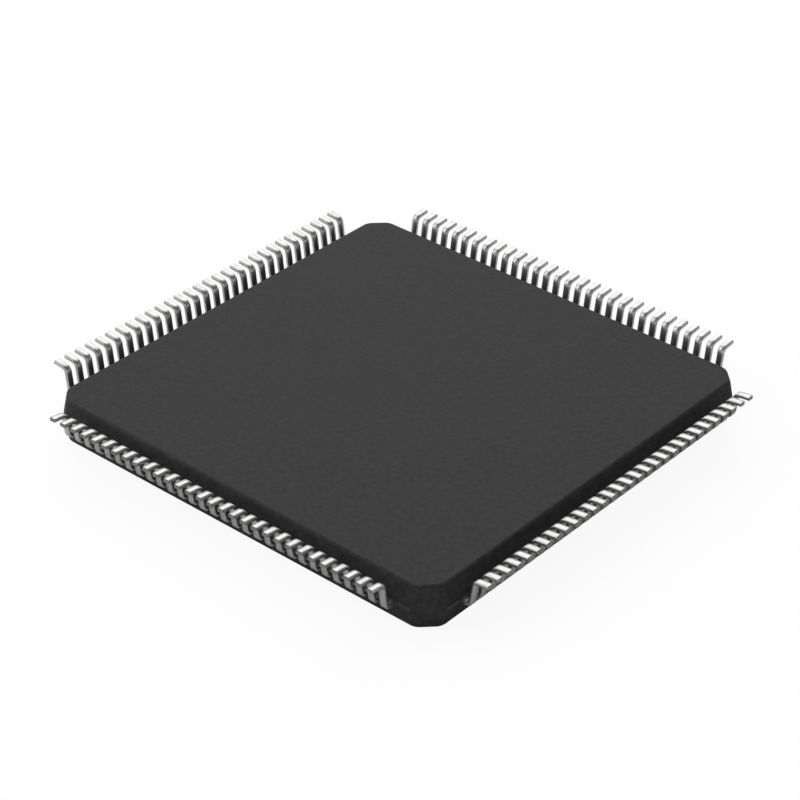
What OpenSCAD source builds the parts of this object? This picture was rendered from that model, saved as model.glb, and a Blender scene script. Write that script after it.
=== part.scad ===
// Microcontroller chip in a low-profile quad flat package.
// It lies on its marked face with the solder feet upwards: Z = 0 is the surface under it,
// and the origin is below the middle of the body. Lengths are in millimetres, angles in degrees.

/* [Leads] */
// Number of leads along each side
leads_per_side = 30; // [22:1:40]
// Distance from one lead to the next
lead_pitch = 0.4; // [0.34:0.01:0.65]
// Width of a lead where it leaves the body
lead_width = 0.2; // [0.12:0.01:0.24]
// Thickness of the strip that the leads and the die pad are cut from
lead_thickness = 0.12; // [0.08:0.005:0.16]
// Straight run of a lead from the parting line to its first bend
lead_shoulder = 0.22; // [0.1:0.01:0.3]
// Distance from the parting line to the toe of a lead
lead_reach = 0.93; // [0.85:0.01:1.3]
// Inside radius of both bends of a lead
bend_radius = 0.1; // [0.04:0.01:0.15]
// Lean of the leg from upright, away from the body
leg_lean = 8; // [0:1:14]
// Rise of the foot towards its toe
foot_rise = 6; // [0:1:8]
// Height of the toes above the body's upper face
standoff = 0.22; // [0.05:0.01:0.3]

/* [Moulded body] */
// Thickness of the body
body_thickness = 1.35; // [1.2:0.05:2]
// Distance from the last lead of a row to the corner where the sides would meet
corner_margin = 1.22; // [1:0.02:2]
// Slope of the side walls from upright, on both halves
wall_draft = 11; // [4:1:16]
// Leg of the chamfer that cuts each corner, at the parting line
corner_chamfer = 0.58; // [0.3:0.02:0.9]
// Radius in plan where a chamfer runs into a side
corner_radius = 0.12; // [0.05:0.01:0.6]
// Radius along the edges of both faces
edge_radius = 0.12; // [0.05:0.01:0.25]
// How far the ridge of compound left between the leads stands out at the parting line
parting_ridge = 0.03; // [0.01:0.01:0.08]
// Diameter of the dimple that marks the first lead
dimple_diameter = 1; // [0.5:0.1:1.5]
// Depth of the dimple
dimple_depth = 0.08; // [0.04:0.01:0.15]
// Distance of the dimple's middle from both sides
dimple_inset = 1.5; // [1.1:0.1:2.5]

/* [Lead frame inside] */
// Straight run of a lead inside the body before its finger turns inwards
finger_root = 0.37; // [0.2:0.01:0.6]
// Gap between the tips of neighbouring fingers
finger_spacing = 0.11; // [0.08:0.01:0.14]
// Gap from the die pad to the finger tips
finger_gap = 0.6; // [0.4:0.05:1]
// Distance along a row from its last finger tip to the diagonal
diagonal_gap = 0.6; // [0.45:0.05:0.9]
// Margin of the die pad around the die
pad_margin = 0.4; // [0.2:0.05:0.7]
// Offset of the die pad from the plane of the leads, towards the upper face
pad_offset = 0.2; // [0.15:0.01:0.28]
// Width of the tie bars that run from the pad to the corners
tie_bar_width = 0.3; // [0.2:0.02:0.36]
// Length over which a tie bar climbs from the leads to the pad
tie_bar_ramp = 0.5; // [0.3:0.05:0.8]
// Compound left over the cut end of a tie bar
tie_bar_cover = 0.15; // [0.05:0.05:0.4]

/* [Die and wires] */
// Side of the square die
die_side = 6.2; // [4:0.1:7]
// Thickness of the die
die_thickness = 0.28; // [0.2:0.01:0.34]
// Thickness of the adhesive between die and pad
attach_thickness = 0.03; // [0.02:0.005:0.05]
// Rim of adhesive pressed out around the die
attach_rim = 0.1; // [0:0.02:0.18]
// Thickness of a bond wire
wire_thickness = 0.03; // [0.02:0.005:0.04]
// Height of a wire's loop off the face of the die
loop_height = 0.14; // [0.1:0.01:0.2]
// Distance of the bonds from the edge of the die
bond_inset = 0.12; // [0.06:0.01:0.3]
// Distance of a row's last bond from the corner of the die
bond_corner = 0.3; // [0.2:0.05:0.8]
// Distance of a wire's far end from the tip of its finger
stitch_inset = 0.2; // [0.14:0.02:0.4]

/* [Hidden] */

// Flat steps that stand for a quarter turn of a bend or a rounded edge
quarter_steps = 8;

// Plan of the package
row_half = (leads_per_side - 1) * lead_pitch / 2;
body_half = row_half + corner_margin;
chamfer_half = (2 * body_half - corner_chamfer) / sqrt(2);
blend_half = body_half * cos(22.5) + (body_half - corner_chamfer) * sin(22.5)
    - corner_radius * (1 / cos(22.5) - 1);

// Heights
lead_mid = body_thickness / 2;
lead_low = lead_mid - lead_thickness / 2;
lead_high = lead_mid + lead_thickness / 2;
pad_low = lead_low + pad_offset;
pad_high = lead_high + pad_offset;
die_high = pad_low - attach_thickness;
die_face = die_high - die_thickness;

// Fingers and bonds
pad_half = die_side / 2 + pad_margin;
tip_place = pad_half + finger_gap;
tip_pitch = 2 * (tip_place - diagonal_gap) / (leads_per_side - 1);
tip_width = tip_pitch - finger_spacing;
root_place = body_half - finger_root;
bond_pitch = (die_side - 2 * bond_corner) / (leads_per_side - 1);

// Tie bars, measured along the diagonal
tie_bar_start = pad_half * sqrt(2) - tie_bar_width;
tie_bar_foot = pad_half * sqrt(2) + tie_bar_width;
tie_bar_end = chamfer_half - tie_bar_cover;

// Formed lead: the middle line of the strip, from the first bend to the toe
strip_half = lead_thickness / 2;
bend_middle = bend_radius + strip_half;
leg_angle = 90 - leg_lean;
bend_place = body_half + lead_shoulder;
climb = body_thickness + standoff - lead_mid - strip_half * cos(foot_rise)
    - bend_middle * (1 + cos(foot_rise) - 2 * cos(leg_angle));
run = lead_reach - lead_shoulder - strip_half * sin(foot_rise)
    - bend_middle * (2 * sin(leg_angle) - sin(foot_rise));
leg_length = (climb * cos(foot_rise) - run * sin(foot_rise)) / sin(leg_angle - foot_rise);
foot_length = (run * sin(leg_angle) - climb * cos(leg_angle)) / sin(leg_angle - foot_rise);
leg_top = [
    bend_place + bend_middle * sin(leg_angle) + leg_length * cos(leg_angle),
    lead_mid + bend_middle * (1 - cos(leg_angle)) + leg_length * sin(leg_angle)
];
first_centre = [bend_place, lead_mid + bend_middle];
second_centre = leg_top + bend_middle * [sin(leg_angle), -cos(leg_angle)];

// Points of an arc about a centre, from one angle to another, both included
function arc(centre, radius, from, to) =
    let (steps = max(2, ceil(quarter_steps * abs(to - from) / 90)))
    [for (i = [0:steps]) let (a = from + (to - from) * i / steps)
        centre + radius * [cos(a), sin(a)]];

// Place of lead, finger tip or bond number i along its row, at a given pitch
function place(i, pitch) = (i - (leads_per_side - 1) / 2) * pitch;

// Place along the row of finger i at a distance from the middle of the package
function finger_place(i, distance) =
    let (inward = (root_place - distance) / (root_place - tip_place))
    place(i, lead_pitch) + inward * (place(i, tip_pitch) - place(i, lead_pitch));

// Upright section of the body between two opposite walls, half_width apart from its middle
module wall_section(half_width) {
    face_half = half_width - lead_mid * tan(wall_draft);
    tangent = edge_radius * tan((90 - wall_draft) / 2);
    centre = [face_half - tangent, body_thickness - edge_radius];
    upper = arc(centre, edge_radius, wall_draft, 90);
    corner = concat([[half_width, lead_mid]], upper);
    far = [for (i = [len(corner) - 1:-1:1]) [-corner[i].x, corner[i].y]];
    top = concat(corner, far, [[-half_width, lead_mid]]);
    bottom = [for (i = [len(top) - 2:-1:1]) [top[i].x, body_thickness - top[i].y]];
    polygon(concat(top, bottom));
}

// Slab whose two walls stand at half_width, facing along X, long enough to cover the body
module walled_slab(half_width) {
    rotate([90, 0, 0])
        linear_extrude(4 * body_half, center = true)
            wall_section(half_width);
}

// Square block with such walls all round
module walled_block(half_width) {
    intersection() {
        walled_slab(half_width);
        rotate(90)
            walled_slab(half_width);
    }
}

// Plate of compound, level with the leads and as thick, that stands out between them
module ridge_plate() {
    half = body_half + parting_ridge;
    translate([-half, -half, lead_low])
        cube([2 * half, 2 * half, lead_thickness]);
}

// Outer form of the compound: sides with their ridge, corner chamfers and the rounding between them
module body_blank() {
    intersection() {
        union() {
            walled_block(body_half);
            ridge_plate();
        }
        rotate(45)
            walled_block(chamfer_half);
        rotate(22.5)
            walled_block(blend_half);
        rotate(67.5)
            walled_block(blend_half);
    }
}

// Flat part of lead i: its finger in the compound and the shoulder up to the first bend
module lead_flat(i) {
    outer = place(i, lead_pitch);
    inner = place(i, tip_pitch);
    translate([0, 0, lead_low])
        linear_extrude(lead_thickness)
            polygon([
                [bend_place, outer - lead_width / 2],
                [bend_place, outer + lead_width / 2],
                [root_place, outer + lead_width / 2],
                [tip_place, inner + tip_width / 2],
                [tip_place, inner - tip_width / 2],
                [root_place, outer - lead_width / 2]
            ]);
}

// Side view of a lead outside the body, from the root of its shoulder to its toe
module gull_wing() {
    toe = foot_length * [cos(foot_rise), sin(foot_rise)];
    heel = second_centre + bend_middle * [-sin(foot_rise), cos(foot_rise)];
    across = strip_half * [-sin(foot_rise), cos(foot_rise)];
    polygon(concat(
        [[root_place, lead_low]],
        arc(first_centre, bend_radius + lead_thickness, -90, leg_angle - 90),
        arc(second_centre, bend_radius, leg_angle + 90, foot_rise + 90),
        [heel + toe - across, heel + toe + across],
        arc(second_centre, bend_radius + lead_thickness, foot_rise + 90, leg_angle + 90),
        arc(first_centre, bend_radius, leg_angle - 90, -90),
        [[root_place, lead_high]]
    ));
}

// Lead i in one piece
module lead(i) {
    union() {
        lead_flat(i);
        translate([0, place(i, lead_pitch) + lead_width / 2, 0])
            rotate([90, 0, 0])
                linear_extrude(lead_width)
                    gull_wing();
    }
}

// All the leads of one side, turned there from the right
module lead_row(turn) {
    color("gainsboro")
        rotate(turn)
            for (i = [0:leads_per_side - 1])
                lead(i);
}

// Die pad and its four tie bars, cut and bent as one piece
module die_pad() {
    color("peru")
        union() {
            translate([-pad_half, -pad_half, pad_low])
                cube([2 * pad_half, 2 * pad_half, lead_thickness]);
            for (turn = [0:90:270])
                rotate(turn)
                    tie_bar();
        }
}

// Tie bar along one diagonal: level with the pad, down a ramp, then level with the leads
module tie_bar() {
    ramp_end = tie_bar_foot + tie_bar_ramp;
    rotate(45)
        translate([0, tie_bar_width / 2, 0])
            rotate([90, 0, 0])
                linear_extrude(tie_bar_width)
                    polygon([
                        [tie_bar_start, pad_low],
                        [tie_bar_foot, pad_low],
                        [ramp_end, lead_low],
                        [tie_bar_end, lead_low],
                        [tie_bar_end, lead_high],
                        [ramp_end, lead_high],
                        [tie_bar_foot, pad_high],
                        [tie_bar_start, pad_high]
                    ]);
}

// Film of adhesive on the lower face of the pad
module die_attach() {
    half = die_side / 2 + attach_rim;
    color("darkgray")
        translate([-half, -half, die_high])
            cube([2 * half, 2 * half, attach_thickness]);
}

// Silicon die, its circuit facing down towards the marked face
module die() {
    color("slategray")
        translate([-die_side / 2, -die_side / 2, die_face])
            cube([die_side, die_side, die_thickness]);
}

// Wire i: a neck off the die, a kink, then a straight run to the face of its finger
module bond_wire(i) {
    bond = [die_side / 2 - bond_inset, place(i, bond_pitch)];
    stitch_place = tip_place + stitch_inset;
    stitch = [stitch_place, finger_place(i, stitch_place)];
    span = norm(stitch - bond);
    heading = atan2(stitch.y - bond.y, stitch.x - bond.x);
    half = wire_thickness / 2;
    finger_rise = lead_low - die_face;
    slope = (loop_height + finger_rise) / span;
    flat = half / sin(atan(slope));
    translate([bond.x, bond.y, die_face])
        rotate(heading)
            translate([0, half, 0])
                rotate([90, 0, 0])
                    linear_extrude(wire_thickness)
                        polygon([
                            [-half, 0],
                            [-half, finger_rise - (span + flat + half) * slope],
                            [span + flat, finger_rise],
                            [span - flat, finger_rise],
                            [half, finger_rise - (span - flat - half) * slope],
                            [half, 0]
                        ]);
}

// All the wires to the leads of one side, turned there from the right
module wire_row(turn) {
    color("gold")
        rotate(turn)
            for (i = [0:leads_per_side - 1])
                bond_wire(i);
}

// Dimple beside the first lead, in the marked face
module dimple() {
    translate([dimple_inset - body_half, dimple_inset - body_half, -dimple_depth])
        cylinder(d = dimple_diameter, h = 2 * dimple_depth, $fn = 48);
}

// Compound, moulded round everything that it holds
module moulded_body() {
    color("dimgray")
        difference() {
            body_blank();
            dimple();
            for (turn = [0:90:270]) {
                rotate(turn)
                    for (i = [0:leads_per_side - 1])
                        lead_flat(i);
                wire_row(turn);
            }
            die_pad();
            die_attach();
            die();
        }
}

moulded_body();
lead_row(turn = 0);  // lead_row_right
lead_row(turn = 90);  // lead_row_back
lead_row(turn = 180);  // lead_row_left
lead_row(turn = 270);  // lead_row_front
die_pad();
die_attach();
die();
wire_row(turn = 0);  // wire_row_right
wire_row(turn = 90);  // wire_row_back
wire_row(turn = 180);  // wire_row_left
wire_row(turn = 270);  // wire_row_front
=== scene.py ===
"""Looks of a microcontroller chip in a quad flat package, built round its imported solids.

The chip lies on its marked face, with the feet of its leads up, on a pale floor under soft light.
"""
import math

import bmesh
import bpy
from bpy.props import FloatProperty, FloatVectorProperty, IntProperty, PointerProperty
from mathutils import Matrix, Vector


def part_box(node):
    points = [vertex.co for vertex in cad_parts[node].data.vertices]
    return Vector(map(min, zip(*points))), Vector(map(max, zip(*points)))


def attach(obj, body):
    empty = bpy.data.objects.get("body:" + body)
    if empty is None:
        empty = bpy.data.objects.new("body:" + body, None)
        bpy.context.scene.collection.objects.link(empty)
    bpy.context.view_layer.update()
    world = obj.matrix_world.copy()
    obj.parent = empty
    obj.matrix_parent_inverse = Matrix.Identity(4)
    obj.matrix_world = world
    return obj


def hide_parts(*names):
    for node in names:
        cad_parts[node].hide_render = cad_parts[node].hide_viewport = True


bl_info = {
    "name": "Quad flat package chip",
    "version": (1, 0, 0),
    "blender": (4, 5, 0),
    "location": "View3D > Sidebar > Chip",
    "description": "Dresses the solids of a microcontroller chip and sets its stage",
    "category": "Object",
}

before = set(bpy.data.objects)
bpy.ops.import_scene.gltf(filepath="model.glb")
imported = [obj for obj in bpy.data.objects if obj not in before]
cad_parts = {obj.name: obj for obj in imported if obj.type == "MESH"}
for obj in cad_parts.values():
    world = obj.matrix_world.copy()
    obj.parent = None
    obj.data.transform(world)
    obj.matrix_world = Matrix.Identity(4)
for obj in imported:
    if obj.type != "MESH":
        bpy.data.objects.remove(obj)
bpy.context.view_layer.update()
BODY_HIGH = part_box("moulded_body")[1]
ROW_LOW, ROW_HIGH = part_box("lead_row_right")

MM = 0.001
MICRON = 0.000001
QUARTER = math.pi / 2
CUT_TOLERANCE = MICRON / 100

# Turn about the middle of the package that brings the right-hand row to each side.
ROW_TURNS = {"right": 0.0, "back": QUARTER, "left": 2 * QUARTER, "front": 3 * QUARTER}

# Place of the second material on the body, where the parting ridge has a painted highlight, and on
# the leads.
RIDGE_HIGHLIGHT = 1
CUT = 1

# Flat steps that make up each round.
CORNER_STEPS = 5
RIM_STEPS = 6
DIMPLE_STEPS = 48
BEND_STEPS = 4
STAMPED_STEPS = 1

# Edges that turn by more than this are shaded as sharp.
BODY_SHARP = math.radians(22)
LEAD_SHARP = math.radians(50)

# Edges along a lead turn by more than this, and those across its bends by less.
STAMPED_TURN = math.radians(60)

# Grains per metre, and the part that the broad ones have in the mask.
FINE_GRAIN = 30000.0
BROAD_GRAIN = 900.0
BROAD_SHARE = 0.5

# The floor reaches this far each way and lies clear of the marked face.
FLOOR_REACH = 3.0
FLOOR_DROP = 0.005 * MM

# The sky is seen as white up to the first height above the horizon, and fades up to the second.
WHITE_SKY_TOP = math.radians(10)
WHITE_SKY_END = math.radians(16)

SENSOR_WIDTH = 36.0
CLIP_NEAR, CLIP_FAR = 1 * MM, 10.0


def length(name, description, default):
    """A size in metres that a user may change."""
    return FloatProperty(name=name, description=description, default=default, min=0.0, precision=6,
                         subtype="DISTANCE", unit="LENGTH")


def angle(name, description, degrees):
    """An angle that a user may change."""
    return FloatProperty(name=name, description=description, default=math.radians(degrees),
                         subtype="ANGLE", unit="ROTATION")


def share(name, description, default):
    """A share from 0 to 1 that a user may change."""
    return FloatProperty(name=name, description=description, default=default, min=0.0, max=1.0,
                         subtype="FACTOR")


def radiance(name, description, default):
    """The brightness of a lamp's face, where 1 is white, that a user may change."""
    return FloatProperty(name=name, description=description, default=default, min=0.0)


def colour(name, description, default):
    """A linear colour that a user may change."""
    return FloatVectorProperty(name=name, description=description, default=default, size=3,
                               min=0.0, max=1.0, subtype="COLOR")


class CompoundSettings(bpy.types.PropertyGroup):
    """Sizes and finish of the moulded body."""

    draft: angle("Wall draft", "Slope of the side walls from upright, on both halves", 11)
    chamfer: length("Corner chamfer", "Leg of the cut across each corner, at the parting line",
                    0.58 * MM)
    corner_radius: length("Corner radius", "Radius where a chamfer runs into a side", 0.35 * MM)
    edge_radius: length("Edge radius", "Radius along the edges of both faces", 0.12 * MM)
    ridge: length("Parting ridge", "How far the compound between the leads stands out", 0.03 * MM)
    ridge_thickness: length("Ridge thickness", "Thickness of that ridge", 0.108 * MM)
    dimple_radius: length("Dimple radius", "Radius of the dimple beside the first lead", 0.5 * MM)
    dimple_depth: length("Dimple depth", "Depth of the dimple in the marked face", 0.08 * MM)
    dimple_inset: length("Dimple inset", "Distance of the dimple's middle from both sides", 1.5 * MM)
    tone: colour("Compound", "Colour of the moulded epoxy", (0.0115, 0.0115, 0.0117))
    tone_light: colour("Compound, light grains", "Colour of the filler that shows through",
                       (0.0315, 0.0315, 0.0318))
    gloss: share("Gloss", "Reflection level of the moulded surface", 0.27)
    # The ridge's two colours are lighter than the compound, a painted highlight along the parting
    # ridge.
    ridge_highlight: colour("Ridge, painted highlight", "Lighter colour of the parting ridge, a painted highlight",
                 (0.034, 0.034, 0.0345))
    ridge_highlight_grains: colour("Ridge highlight, light grains", "Colour of the light grains in that painted highlight",
                       (0.060, 0.060, 0.0605))


class LeadSettings(bpy.types.PropertyGroup):
    """Sizes and finish of the formed leads."""

    count: IntProperty(name="Leads", description="Leads along each side", default=30, min=2)
    width: length("Width", "Width of a lead outside the body", 0.2 * MM)
    thickness: length("Thickness", "Thickness of the strip", 0.12 * MM)
    shoulder: length("Shoulder", "Straight run from the parting line to the first bend", 0.22 * MM)
    root: length("Root", "Straight run of a lead inside the body", 0.37 * MM)
    bend_radius: length("Bend radius", "Inside radius of both bends", 0.1 * MM)
    leg_lean: angle("Leg lean", "Lean of the leg from upright, away from the body", 8)
    foot_rise: angle("Foot rise", "Rise of the foot towards its toe", 6)
    edge_round: length("Edge rounding", "Rounding of the stamped edges", 0.02 * MM)
    tip_gap: length("Tip gap", "Gap between the tips of neighbouring fingers", 0.11 * MM)
    diagonal_gap: length("Diagonal gap", "Distance from a row's last tip to the diagonal", 0.6 * MM)
    tin: colour("Tin", "Colour of the tin plating", (0.45, 0.45, 0.445))
    tin_dull: colour("Tin, dull", "Colour of the duller patches of the plating", (0.34, 0.34, 0.337))
    cut: colour("Cut end", "Colour of the bare alloy at the cut toes", (0.24, 0.235, 0.23))
    cut_dull: colour("Cut end, dull", "Colour of the tarnish on the cut toes", (0.16, 0.155, 0.15))


class InsideSettings(bpy.types.PropertyGroup):
    """Finish of the pieces inside the body."""

    copper: colour("Copper", "Colour of the bare copper strip", (0.62, 0.30, 0.18))
    copper_dull: colour("Copper, dull", "Colour of its duller patches", (0.50, 0.22, 0.12))
    paste: colour("Die adhesive", "Colour of the adhesive", (0.30, 0.30, 0.29))
    paste_light: colour("Die adhesive, light grains", "Colour of its silver filler",
                        (0.42, 0.42, 0.40))
    silicon: colour("Silicon", "Colour of the die", (0.07, 0.08, 0.10))
    silicon_light: colour("Silicon, light patches", "Colour of its lighter patches",
                          (0.11, 0.12, 0.15))
    silicon_sheen: share("Silicon sheen", "How much the die mirrors as a metal does", 0.6)
    gold: colour("Gold", "Colour of the bond wires", (0.90, 0.62, 0.24))
    gold_dull: colour("Gold, dull", "Colour of their duller patches", (0.80, 0.52, 0.16))


class StageSettings(bpy.types.PropertyGroup):
    """Camera, floor and light."""

    azimuth: angle("Azimuth", "Direction of the camera round the chip", 40.17)
    elevation: angle("Elevation", "Height of the camera above the horizon", 33.28)
    roll: angle("Roll", "Turn of the camera about its own axis", 0.88)
    distance: length("Distance", "Distance of the camera from its target", 73.57 * MM)
    lens: FloatProperty(name="Lens", description="Focal length of the camera", default=114.09,
                        subtype="DISTANCE_CAMERA", unit="CAMERA")
    target: FloatVectorProperty(name="Target", description="Point that the camera looks at", size=3,
                                default=(-0.858 * MM, 0.993 * MM, -0.05 * MM), precision=6,
                                subtype="TRANSLATION", unit="LENGTH")
    floor_tone: share("Floor", "Grey of the floor as it lights the chip", 0.85)
    floor_glow: share("Floor glow", "Part of the floor's white that no shadow darkens, as seen", 0.92)
    sky: share("Sky", "Even light from all round", 0.2)
    lamp_distance: length("Lamp distance", "Distance of all lamps from the chip", 600 * MM)
    lamp: radiance("Softbox", "Brightness of the softbox behind the chip", 2.6)
    lamp_side: length("Softbox side", "Side of the square softbox", 640 * MM)
    lamp_elevation: angle("Softbox elevation", "Height of the softbox above the horizon", 42)
    lamp_azimuth: angle("Softbox azimuth", "Direction of the softbox round the chip", 222)
    fill_side: length("Fill side", "Side of the square fill and bounce lamps", 480 * MM)
    fill: radiance("Fill", "Brightness of the fill lamp beside the chip", 2.5)
    fill_elevation: angle("Fill elevation", "Height of the fill lamp above the horizon", 35)
    fill_azimuth: angle("Fill azimuth", "Direction of the fill lamp round the chip", 305)
    bounce: radiance("Bounce", "Brightness of the low light from the front", 1.6)
    bounce_elevation: angle("Bounce elevation", "Height of the low light above the horizon", 6)
    bounce_azimuth: angle("Bounce azimuth", "Direction of the low light round the chip", 45)


def settings():
    """The add-on's settings in this scene."""
    return bpy.context.scene.chip


def wall_reach():
    """Distance from the middle of the package to the parting line of a side."""
    return BODY_HIGH.x - settings().compound.ridge


def add_piece(name, shape, materials, node):
    """Makes a finished bmesh a piece that rides on the chip and stands for a CAD node."""
    mesh = bpy.data.meshes.new(name)
    shape.to_mesh(mesh)
    shape.free()
    for material in materials:
        mesh.materials.append(material)
    piece = bpy.data.objects.new(name, mesh)
    bpy.context.scene.collection.objects.link(piece)
    normals = piece.modifiers.new("Even shading", "WEIGHTED_NORMAL")
    normals.keep_sharp = True
    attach(piece, "root")
    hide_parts(node)


def verts_in(geometry):
    """The vertices among what a bmesh operator gave back."""
    return [item for item in geometry if isinstance(item, bmesh.types.BMVert)]


def edges_in(geometry):
    """The edges among what a bmesh operator gave back."""
    return [item for item in geometry if isinstance(item, bmesh.types.BMEdge)]


def cut_through(shape, point, normal, clear_outer=False):
    """Cuts a shape along a plane, with or without what lies outside, and returns the cut's edges."""
    cut = bmesh.ops.bisect_plane(shape, geom=[*shape.verts, *shape.edges, *shape.faces],
                                 dist=CUT_TOLERANCE, plane_co=point, plane_no=normal,
                                 clear_outer=clear_outer)
    return edges_in(cut["geom_cut"])


def round_edges(shape, edges, offset, steps):
    """Rounds edges with a bevel of a given offset along the faces."""
    bmesh.ops.bevel(shape, geom=edges, offset=offset, offset_type="OFFSET", segments=steps,
                    profile=0.5, affect="EDGES", clamp_overlap=True, material=-1)


def turn_about_middle(shape, turn):
    """Turns a shape about the upright axis of the package."""
    bmesh.ops.rotate(shape, verts=shape.verts, cent=(0, 0, 0), matrix=Matrix.Rotation(turn, 3, "Z"))


def shade_smooth(shape, sharp):
    """Shades a shape as smooth, apart from the edges that turn by the sharp angle or more."""
    for face in shape.faces:
        face.smooth = True
    for edge in shape.edges:
        edge.smooth = edge.calc_face_angle(0.0) < sharp


# Moulded body


def cut_wall(block, towards, reach, height, slope):
    """Cuts a block along one drafted wall, which stands at reach from the middle at a height."""
    outwards = Vector((math.cos(towards), math.sin(towards), 0.0))
    point = outwards * reach + Vector((0.0, 0.0, height))
    normal = outwards * math.cos(slope) + Vector((0.0, 0.0, math.sin(slope)))
    rim = cut_through(block, point, normal, clear_outer=True)
    bmesh.ops.contextual_create(block, geom=rim)


def sink_dimple(block, middle, radius, depth):
    """Opens the block's lower face and lets a shallow round dimple into it."""
    face = min(block.faces, key=lambda f: f.calc_center_median().z)
    rim = list(face.edges)
    bmesh.ops.delete(block, geom=[face], context="FACES_ONLY")
    ring = bmesh.ops.create_circle(block, segments=DIMPLE_STEPS, radius=radius,
                                   matrix=Matrix.Translation(middle))["verts"]
    mouth = [edge for edge in block.edges if edge.verts[0] in ring]
    bmesh.ops.triangle_fill(block, use_beauty=True, use_dissolve=False, edges=rim + mouth,
                            normal=(0, 0, -1))
    wall = bmesh.ops.extrude_edge_only(block, edges=mouth)["geom"]
    bottom = edges_in(wall)
    bmesh.ops.translate(block, verts=verts_in(wall), vec=(0.0, 0.0, depth))
    bmesh.ops.contextual_create(block, geom=bottom)


def raise_ridge(block, reach, half_height, end_taper):
    """Draws the strip beside the right-hand parting line out to a reach, tapered at its ends."""
    middle = BODY_HIGH.z / 2
    least_facing = math.cos(QUARTER / 5)
    strip = [face for face in block.faces
             if abs(face.calc_center_median().z - middle) < half_height
             and face.normal.x > least_facing]
    verts = verts_in(bmesh.ops.extrude_face_region(block, geom=strip)["geom"])
    bmesh.ops.delete(block, geom=strip, context="FACES")
    bmesh.ops.scale(block, verts=verts, vec=(0.0, 1.0, 1.0),
                    space=Matrix.Translation((-reach, 0.0, 0.0)))
    half_run = max(vert.co.y for vert in verts)
    bmesh.ops.scale(block, verts=verts, vec=(1.0, 1.0 - end_taper / half_run, 1.0))
    # The ridge's faces take the lighter material, a painted highlight.
    for vert in verts:
        for face in vert.link_faces:
            face.material_index = RIDGE_HIGHLIGHT


def moulded_block(compound):
    """The body: a block cut along its drafted walls, rounded, with a ridge at its parting line."""
    half, thickness = wall_reach(), BODY_HIGH.z
    middle = thickness / 2
    blank = 3 * half
    block = bmesh.new()
    bmesh.ops.create_cube(block, size=1.0)
    bmesh.ops.translate(block, verts=block.verts, vec=(0.0, 0.0, 0.5))
    bmesh.ops.scale(block, verts=block.verts, vec=(blank, blank, thickness))
    corner_reach = (2 * half - compound.chamfer) / math.sqrt(2)
    # Sides and corner cuts by turns, each with a wall above and below the parting line.
    for step in range(8):
        reach = corner_reach if step % 2 else half
        for slope in (compound.draft, -compound.draft):
            cut_wall(block, step * QUARTER / 2, reach, middle, slope)
    upright = [edge for edge in block.edges
               if abs(edge.verts[0].co.z - edge.verts[1].co.z) > middle / 2]
    round_edges(block, upright, compound.corner_radius * math.tan(QUARTER / 4), CORNER_STEPS)
    rims = [edge for edge in block.edges
            if all(abs(vert.co.z - middle) > 0.99 * middle for vert in edge.verts)
            and edge.calc_face_angle() > compound.draft]
    rim_offset = compound.edge_radius * math.tan((QUARTER - compound.draft) / 2)
    round_edges(block, rims, rim_offset, RIM_STEPS)
    ridge_half = compound.ridge_thickness / 2
    for side in (-1, 1):
        cut_through(block, (0.0, 0.0, middle + side * ridge_half), (0.0, 0.0, 1.0))
    for _ in ROW_TURNS:
        raise_ridge(block, half + compound.ridge, ridge_half, 2 * compound.ridge)
        turn_about_middle(block, QUARTER)
    place = compound.dimple_inset - half
    sink_dimple(block, Vector((place, place, 0.0)), compound.dimple_radius, compound.dimple_depth)
    bmesh.ops.recalc_face_normals(block, faces=block.faces)
    shade_smooth(block, BODY_SHARP)
    return block


# Leads


def extend(strip, end, offset):
    """Draws the end face of a strip out along an offset and returns the new end."""
    is_sheet = all(edge.is_boundary for edge in end.edges)
    made = bmesh.ops.extrude_face_region(strip, geom=[end])["geom"]
    face = next(item for item in made if isinstance(item, bmesh.types.BMFace))
    bmesh.ops.translate(strip, verts=face.verts[:], vec=offset)
    # A lone first face stays as the closed root, and any later end would be left inside the strip.
    if not is_sheet:
        bmesh.ops.delete(strip, geom=[end], context="FACES_ONLY")
    return face


def bend(strip, end, centre, turn):
    """Sweeps the end face of a strip about a line along Y in equal steps and returns the new end."""
    step = Matrix.Rotation(-turn / BEND_STEPS, 3, "Y")
    for _ in range(BEND_STEPS):
        end = extend(strip, end, Vector())
        bmesh.ops.rotate(strip, verts=end.verts[:], cent=centre, matrix=step)
    return end


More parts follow.
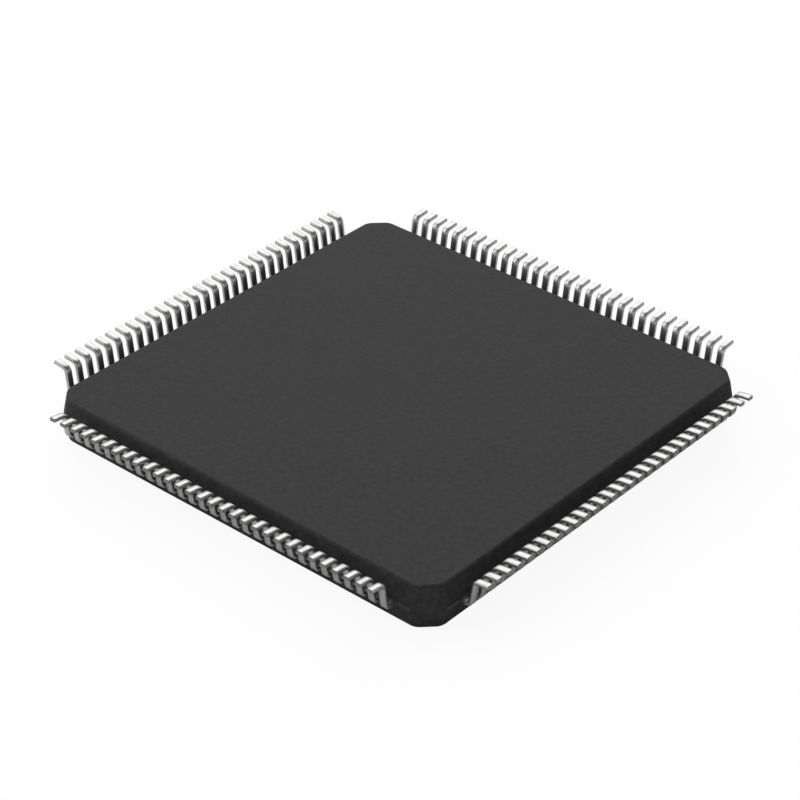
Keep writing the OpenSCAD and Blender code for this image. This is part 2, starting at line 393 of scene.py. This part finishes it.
def formed_lead(leads):
    """One lead at the middle of the right-hand row, from its root in the body to its toe."""
    middle = BODY_HIGH.z / 2
    half = leads.thickness / 2
    radius = leads.bend_radius + half
    leg, foot = QUARTER - leads.leg_lean, leads.foot_rise
    climb = (ROW_HIGH.z - middle - half * math.cos(foot)
             - radius * (1 + math.cos(foot) - 2 * math.cos(leg)))
    run = (ROW_HIGH.x - wall_reach() - leads.shoulder - half * math.sin(foot)
           - radius * (2 * math.sin(leg) - math.sin(foot)))
    leg_length = (climb * math.cos(foot) - run * math.sin(foot)) / math.sin(leg - foot)
    foot_length = (run * math.sin(leg) - climb * math.cos(leg)) / math.sin(leg - foot)
    along_leg = Vector((math.cos(leg), 0.0, math.sin(leg)))
    along_foot = Vector((math.cos(foot), 0.0, math.sin(foot)))
    to_leg = radius * Vector((math.sin(leg), 0.0, -math.cos(leg)))
    root_place = wall_reach() - leads.root
    bend_place = wall_reach() + leads.shoulder
    first_centre = Vector((bend_place, 0.0, middle + radius))
    second_centre = first_centre + to_leg + leg_length * along_leg + to_leg

    strip = bmesh.new()
    bmesh.ops.create_grid(strip, x_segments=1, y_segments=1, size=0.5,
                          matrix=Matrix.Translation((root_place, 0.0, middle))
                          @ Matrix.Diagonal((1.0, leads.width, leads.thickness, 1.0))
                          @ Matrix.Rotation(QUARTER, 4, "Y"))
    end = strip.faces[:][0]
    end = extend(strip, end, Vector((bend_place - root_place, 0.0, 0.0)))
    end = bend(strip, end, first_centre, leg)
    end = extend(strip, end, leg_length * along_leg)
    end = bend(strip, end, second_centre, foot - leg)
    # The toe stops a micron short, so that the row stays inside the CAD box.
    toe = extend(strip, end, (foot_length - MICRON) * along_foot)
    toe.material_index = CUT
    bmesh.ops.recalc_face_normals(strip, faces=strip.faces)
    stamped = [edge for edge in strip.edges
               if edge.calc_face_angle(0.0) > STAMPED_TURN and edge not in toe.edges[:]]
    round_edges(strip, stamped, leads.edge_round, STAMPED_STEPS)
    return strip


def lead_row(leads, turn):
    """A row of leads with their fingers, turned to its side of the package."""
    row = formed_lead(leads)
    pitch = (ROW_HIGH.y - ROW_LOW.y - leads.width) / (leads.count - 1)
    tip_place = ROW_LOW.x
    tip_pitch = 2 * (tip_place - leads.diagonal_gap) / (leads.count - 1)
    narrowing = (tip_pitch - leads.tip_gap) / leads.width
    first_lead = [*row.verts, *row.edges, *row.faces]
    first_root = min(row.faces, key=lambda f: f.calc_center_median().x)
    roots = {}
    for number in range(1, leads.count):
        copy = bmesh.ops.duplicate(row, geom=first_lead)
        place = (number - (leads.count - 1) / 2) * pitch
        bmesh.ops.translate(row, verts=verts_in(copy["geom"]), vec=(0.0, place, 0.0))
        roots[number] = copy["face_map"][first_root]
    bmesh.ops.translate(row, verts=verts_in(first_lead),
                        vec=(0.0, (1 - leads.count) / 2 * pitch, 0.0))
    roots[0] = first_root
    for number, root in roots.items():
        step = number - (leads.count - 1) / 2
        inwards = Vector((tip_place - (wall_reach() - leads.root), step * (tip_pitch - pitch), 0.0))
        tip = extend(row, root, inwards)
        bmesh.ops.scale(row, verts=tip.verts[:], vec=(1.0, narrowing, 1.0),
                        space=Matrix.Translation((0.0, -step * tip_pitch, 0.0)))
    turn_about_middle(row, turn)
    bmesh.ops.recalc_face_normals(row, faces=row.faces)
    shade_smooth(row, LEAD_SHARP)
    return row


# Materials


def grain_group():
    """Node group that lays two sizes of grain over a surface, as a mask and a height."""
    name = "Surface grain"
    if name in bpy.data.node_groups:
        return bpy.data.node_groups[name]
    group = bpy.data.node_groups.new(name, "ShaderNodeTree")
    for label, default in (("Fine scale", FINE_GRAIN), ("Broad scale", BROAD_GRAIN),
                           ("Broad share", BROAD_SHARE)):
        socket = group.interface.new_socket(label, in_out="INPUT", socket_type="NodeSocketFloat")
        socket.default_value = default
    for label in ("Mask", "Height"):
        group.interface.new_socket(label, in_out="OUTPUT", socket_type="NodeSocketFloat")
    nodes, links = group.nodes, group.links
    inputs = nodes.new("NodeGroupInput")
    outputs = nodes.new("NodeGroupOutput")
    where = nodes.new("ShaderNodeTexCoord")
    noises = {}
    for label, detail in (("Fine scale", 3.0), ("Broad scale", 5.0)):
        noise = nodes.new("ShaderNodeTexNoise")
        noise.inputs["Detail"].default_value = detail
        noise.inputs["Roughness"].default_value = 0.55
        links.new(where.outputs["Object"], noise.inputs["Vector"])
        links.new(inputs.outputs[label], noise.inputs["Scale"])
        noises[label] = noise
    blend = nodes.new("ShaderNodeMix")
    links.new(inputs.outputs["Broad share"], blend.inputs["Factor"])
    links.new(noises["Fine scale"].outputs["Fac"], blend.inputs["A"])
    links.new(noises["Broad scale"].outputs["Fac"], blend.inputs["B"])
    links.new(blend.outputs["Result"], outputs.inputs["Mask"])
    links.new(noises["Fine scale"].outputs["Fac"], outputs.inputs["Height"])
    return group


def grained_material(name, low, high, roughness, relief, fine=FINE_GRAIN, broad=BROAD_GRAIN,
                     broad_share=BROAD_SHARE, contrast=(0.3, 0.7)):
    """A material whose colour and roughness follow the grain, with a relief of microns at most.

    low and high are its colours, and roughness its two values, where the mask is low and high.
    """
    material = bpy.data.materials.new(name)
    material.use_nodes = True
    nodes, links = material.node_tree.nodes, material.node_tree.links
    shader = nodes["Principled BSDF"]
    grain = nodes.new("ShaderNodeGroup")
    grain.node_tree = grain_group()
    grain.inputs["Fine scale"].default_value = fine
    grain.inputs["Broad scale"].default_value = broad
    grain.inputs["Broad share"].default_value = broad_share
    tint = nodes.new("ShaderNodeValToRGB")
    for stop, position, tone in zip(tint.color_ramp.elements, contrast, (low, high)):
        stop.position = position
        stop.color = (*tone, 1.0)
    rough = nodes.new("ShaderNodeMapRange")
    rough.inputs["From Min"].default_value, rough.inputs["From Max"].default_value = contrast
    rough.inputs["To Min"].default_value, rough.inputs["To Max"].default_value = roughness
    bump = nodes.new("ShaderNodeBump")
    bump.inputs["Strength"].default_value = 1.0
    bump.inputs["Distance"].default_value = relief
    links.new(grain.outputs["Mask"], tint.inputs["Fac"])
    links.new(tint.outputs["Color"], shader.inputs["Base Color"])
    links.new(grain.outputs["Mask"], rough.inputs["Value"])
    links.new(rough.outputs["Result"], shader.inputs["Roughness"])
    links.new(grain.outputs["Height"], bump.inputs["Height"])
    links.new(bump.outputs["Normal"], shader.inputs["Normal"])
    return material, shader


def compound_material(compound):
    """Black epoxy with the fine matt texture of its spark-eroded mould."""
    material, shader = grained_material("Moulded epoxy", compound.tone, compound.tone_light,
                                        roughness=(0.72, 0.82), relief=1.5 * MICRON,
                                        broad=6000.0, broad_share=0.7, contrast=(0.41, 0.59))
    shader.inputs["Specular IOR Level"].default_value = compound.gloss
    return material


def ridge_highlight_material(compound):
    """Compound of the parting ridge, coloured lighter than the body as a painted highlight, with
    rougher grain.
    """
    material, shader = grained_material("Ridge epoxy, painted highlight", compound.ridge_highlight, compound.ridge_highlight_grains,
                                        roughness=(0.85, 0.95), relief=4 * MICRON,
                                        fine=40000.0, broad=6000.0)
    shader.inputs["Specular IOR Level"].default_value = compound.gloss
    return material


def tin_material(leads):
    """Matt tin plating on the leads."""
    material, shader = grained_material("Tin plating", leads.tin_dull, leads.tin,
                                        roughness=(0.42, 0.32), relief=0.6 * MICRON,
                                        fine=60000.0, broad=4000.0)
    shader.inputs["Metallic"].default_value = 1.0
    return material


def cut_material(leads):
    """Bare alloy at the toes, cut after the plating and tarnished since."""
    material, shader = grained_material("Cut alloy", leads.cut_dull, leads.cut,
                                        roughness=(0.6, 0.45), relief=1.0 * MICRON,
                                        fine=50000.0, broad=8000.0)
    shader.inputs["Metallic"].default_value = 1.0
    return material


def copper_material(inside):
    """Bare copper alloy strip of the die pad."""
    material, shader = grained_material("Copper strip", inside.copper_dull, inside.copper,
                                        roughness=(0.4, 0.3), relief=0.5 * MICRON)
    shader.inputs["Metallic"].default_value = 1.0
    return material


def paste_material(inside):
    """Silver-filled adhesive under the die."""
    material, _ = grained_material("Die adhesive", inside.paste, inside.paste_light,
                                   roughness=(0.5, 0.7), relief=1.0 * MICRON)
    return material


def silicon_material(inside):
    """Polished silicon of the die."""
    material, shader = grained_material("Silicon", inside.silicon, inside.silicon_light,
                                        roughness=(0.18, 0.25), relief=0.1 * MICRON)
    shader.inputs["Metallic"].default_value = inside.silicon_sheen
    return material


def gold_material(inside):
    """Drawn gold of the bond wires."""
    material, shader = grained_material("Gold wire", inside.gold_dull, inside.gold,
                                        roughness=(0.3, 0.2), relief=0.2 * MICRON)
    shader.inputs["Metallic"].default_value = 1.0
    return material


def dress(node, material):
    """Gives a CAD node that stays in the scene its finish."""
    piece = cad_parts[node]
    piece.data.materials.clear()
    piece.data.materials.append(material)


# Stage


def direction(azimuth, elevation):
    """Unit vector from the chip towards an azimuth, counted from the front, and an elevation."""
    return Vector((math.sin(azimuth) * math.cos(elevation), -math.cos(azimuth) * math.cos(elevation),
                   math.sin(elevation)))


def math_node(nodes, operation):
    """A new node that works out one sum."""
    node = nodes.new("ShaderNodeMath")
    node.operation = operation
    return node


def seen_share(nodes, links, path):
    """Value that is 1 for rays from the camera, a gloss or a glass, and 0 for the rest."""
    first = math_node(nodes, "ADD")
    links.new(path.outputs["Is Camera Ray"], first.inputs[0])
    links.new(path.outputs["Is Glossy Ray"], first.inputs[1])
    second = math_node(nodes, "ADD")
    second.use_clamp = True
    links.new(first.outputs[0], second.inputs[0])
    links.new(path.outputs["Is Transmission Ray"], second.inputs[1])
    return second.outputs[0]


def floor_material(stage):
    """Pale floor: a plain grey that lights the chip, seen and mirrored as white with its shadow.

    The camera sees most of the white as a glow, so that the shadow stays faint.
    """
    material = bpy.data.materials.new("Pale floor")
    material.use_nodes = True
    nodes, links = material.node_tree.nodes, material.node_tree.links
    nodes.clear()
    path = nodes.new("ShaderNodeLightPath")
    glow = math_node(nodes, "MULTIPLY")
    glow.inputs[1].default_value = stage.floor_glow
    links.new(path.outputs["Is Camera Ray"], glow.inputs[0])
    shaded = math_node(nodes, "SUBTRACT")
    shaded.inputs[0].default_value = 1.0
    links.new(glow.outputs[0], shaded.inputs[1])
    grey = nodes.new("ShaderNodeBsdfDiffuse")
    grey.inputs["Color"].default_value = (stage.floor_tone,) * 3 + (1.0,)
    veil = nodes.new("ShaderNodeBsdfDiffuse")
    links.new(shaded.outputs[0], veil.inputs["Color"])
    white = nodes.new("ShaderNodeEmission")
    links.new(glow.outputs[0], white.inputs["Strength"])
    shown = nodes.new("ShaderNodeAddShader")
    links.new(veil.outputs[0], shown.inputs[0])
    links.new(white.outputs[0], shown.inputs[1])
    pick = nodes.new("ShaderNodeMixShader")
    links.new(seen_share(nodes, links, path), pick.inputs["Fac"])
    links.new(grey.outputs[0], pick.inputs[1])
    links.new(shown.outputs[0], pick.inputs[2])
    output = nodes.new("ShaderNodeOutputMaterial")
    links.new(pick.outputs[0], output.inputs["Surface"])
    return material


def lay_floor(stage):
    """Lays the floor just under the chip."""
    shape = bmesh.new()
    bmesh.ops.create_grid(shape, x_segments=1, y_segments=1, size=FLOOR_REACH,
                          matrix=Matrix.Translation((0.0, 0.0, -FLOOR_DROP)))
    mesh = bpy.data.meshes.new("floor")
    shape.to_mesh(mesh)
    shape.free()
    mesh.materials.append(floor_material(stage))
    floor = bpy.data.objects.new("floor", mesh)
    bpy.context.scene.collection.objects.link(floor)


def light_sky(stage):
    """Even light from all round, seen as white low over the floor."""
    world = bpy.data.worlds.new("Studio")
    world.use_nodes = True
    nodes, links = world.node_tree.nodes, world.node_tree.links
    where = nodes.new("ShaderNodeTexCoord")
    height = nodes.new("ShaderNodeSeparateXYZ")
    links.new(where.outputs["Generated"], height.inputs["Vector"])
    low = nodes.new("ShaderNodeMapRange")
    low.inputs["From Min"].default_value = math.sin(WHITE_SKY_END)
    low.inputs["From Max"].default_value = math.sin(WHITE_SKY_TOP)
    links.new(height.outputs["Z"], low.inputs["Value"])
    path = nodes.new("ShaderNodeLightPath")
    shown = math_node(nodes, "MULTIPLY")
    links.new(low.outputs["Result"], shown.inputs[0])
    links.new(seen_share(nodes, links, path), shown.inputs[1])
    strength = nodes.new("ShaderNodeMapRange")
    strength.inputs["To Min"].default_value = stage.sky
    strength.inputs["To Max"].default_value = 1.0
    links.new(shown.outputs[0], strength.inputs["Value"])
    links.new(strength.outputs["Result"], nodes["Background"].inputs["Strength"])
    nodes["Background"].inputs["Color"].default_value = (1.0, 1.0, 1.0, 1.0)
    bpy.context.scene.world = world


def hang_softbox(name, side, brightness, distance, towards):
    """A square soft lamp that faces the chip from a direction."""
    lamp = bpy.data.lights.new(name, "AREA")
    lamp.shape = "SQUARE"
    lamp.size = side
    lamp.energy = brightness * math.pi * side ** 2
    holder = bpy.data.objects.new(name, lamp)
    holder.location = distance * towards
    holder.rotation_euler = towards.to_track_quat("Z", "Y").to_euler()
    holder.visible_camera = False
    bpy.context.scene.collection.objects.link(holder)


def set_camera(stage):
    """Puts the camera at the photograph's viewing angle."""
    across = Vector((math.cos(stage.azimuth), math.sin(stage.azimuth), 0.0))
    back = direction(stage.azimuth, stage.elevation)
    up = back.cross(across)
    right = math.cos(stage.roll) * across + math.sin(stage.roll) * up
    top = back.cross(right)
    place = Vector(stage.target) + stage.distance * back
    data = bpy.data.cameras.new("camera")
    data.lens = stage.lens
    data.sensor_width = SENSOR_WIDTH
    data.clip_start, data.clip_end = CLIP_NEAR, CLIP_FAR
    camera = bpy.data.objects.new("camera", data)
    turned = Matrix((right, top, back)).transposed().to_4x4()
    camera.matrix_world = Matrix.Translation(place) @ turned
    bpy.context.scene.collection.objects.link(camera)
    bpy.context.scene.camera = camera


# Operators


class CHIP_OT_mould_body(bpy.types.Operator):
    """Mould the epoxy body round the lead frame"""

    bl_idname = "chip.mould_body"
    bl_label = "Mould body"

    def execute(self, context):
        compound = settings().compound
        # The second finish is the painted highlight on the parting ridge.
        finish = (compound_material(compound), ridge_highlight_material(compound))
        add_piece("epoxy_body", moulded_block(compound), finish, "moulded_body")
        return {"FINISHED"}


class CHIP_OT_form_leads(bpy.types.Operator):
    """Form the leads of all four sides"""

    bl_idname = "chip.form_leads"
    bl_label = "Form leads"

    def execute(self, context):
        leads = settings().leads
        finish = (tin_material(leads), cut_material(leads))
        for side, turn in ROW_TURNS.items():
            add_piece(f"formed_leads_{side}", lead_row(leads, turn), finish,
                      f"lead_row_{side}")
        return {"FINISHED"}


class CHIP_OT_dress_inside(bpy.types.Operator):
    """Finish the die, its pad and the bond wires inside the body"""

    bl_idname = "chip.dress_inside"
    bl_label = "Dress inside"

    def execute(self, context):
        inside = settings().inside
        dress("die_pad", copper_material(inside))
        dress("die_attach", paste_material(inside))
        dress("die", silicon_material(inside))
        gold = gold_material(inside)
        for side in ROW_TURNS:
            dress(f"wire_row_{side}", gold)
        return {"FINISHED"}


class CHIP_OT_set_stage(bpy.types.Operator):
    """Lay the floor and set the light and the camera"""

    bl_idname = "chip.set_stage"
    bl_label = "Set stage"

    def execute(self, context):
        stage = settings().stage
        lay_floor(stage)
        light_sky(stage)
        hang_softbox("softbox", stage.lamp_side, stage.lamp, stage.lamp_distance,
                     direction(stage.lamp_azimuth, stage.lamp_elevation))
        hang_softbox("fill", stage.fill_side, stage.fill, stage.lamp_distance,
                     direction(stage.fill_azimuth, stage.fill_elevation))
        hang_softbox("bounce", stage.fill_side, stage.bounce, stage.lamp_distance,
                     direction(stage.bounce_azimuth, stage.bounce_elevation))
        set_camera(stage)
        context.scene.view_settings.view_transform = "Standard"
        return {"FINISHED"}


class CHIP_PT_panel(bpy.types.Panel):
    """Lists the steps that dress the chip"""

    bl_idname = "CHIP_PT_panel"
    bl_label = "Chip"
    bl_space_type = "VIEW_3D"
    bl_region_type = "UI"
    bl_category = "Chip"

    def draw(self, context):
        for step in STEPS:
            self.layout.operator(step.bl_idname)


class ChipSettings(bpy.types.PropertyGroup):
    """Everything that a user may change."""

    compound: PointerProperty(type=CompoundSettings)
    leads: PointerProperty(type=LeadSettings)
    inside: PointerProperty(type=InsideSettings)
    stage: PointerProperty(type=StageSettings)


STEPS = (CHIP_OT_mould_body, CHIP_OT_form_leads, CHIP_OT_dress_inside, CHIP_OT_set_stage)
CLASSES = (CompoundSettings, LeadSettings, InsideSettings, StageSettings, ChipSettings,
           *STEPS, CHIP_PT_panel)


def register():
    for item in CLASSES:
        bpy.utils.register_class(item)
    bpy.types.Scene.chip = PointerProperty(type=ChipSettings)


def unregister():
    del bpy.types.Scene.chip
    for item in reversed(CLASSES):
        bpy.utils.unregister_class(item)


def main():
    """Builds the dressed chip and its stage."""
    register()
    bpy.ops.chip.mould_body()
    bpy.ops.chip.form_leads()
    bpy.ops.chip.dress_inside()
    bpy.ops.chip.set_stage()


if __name__ == "__main__":
    main()
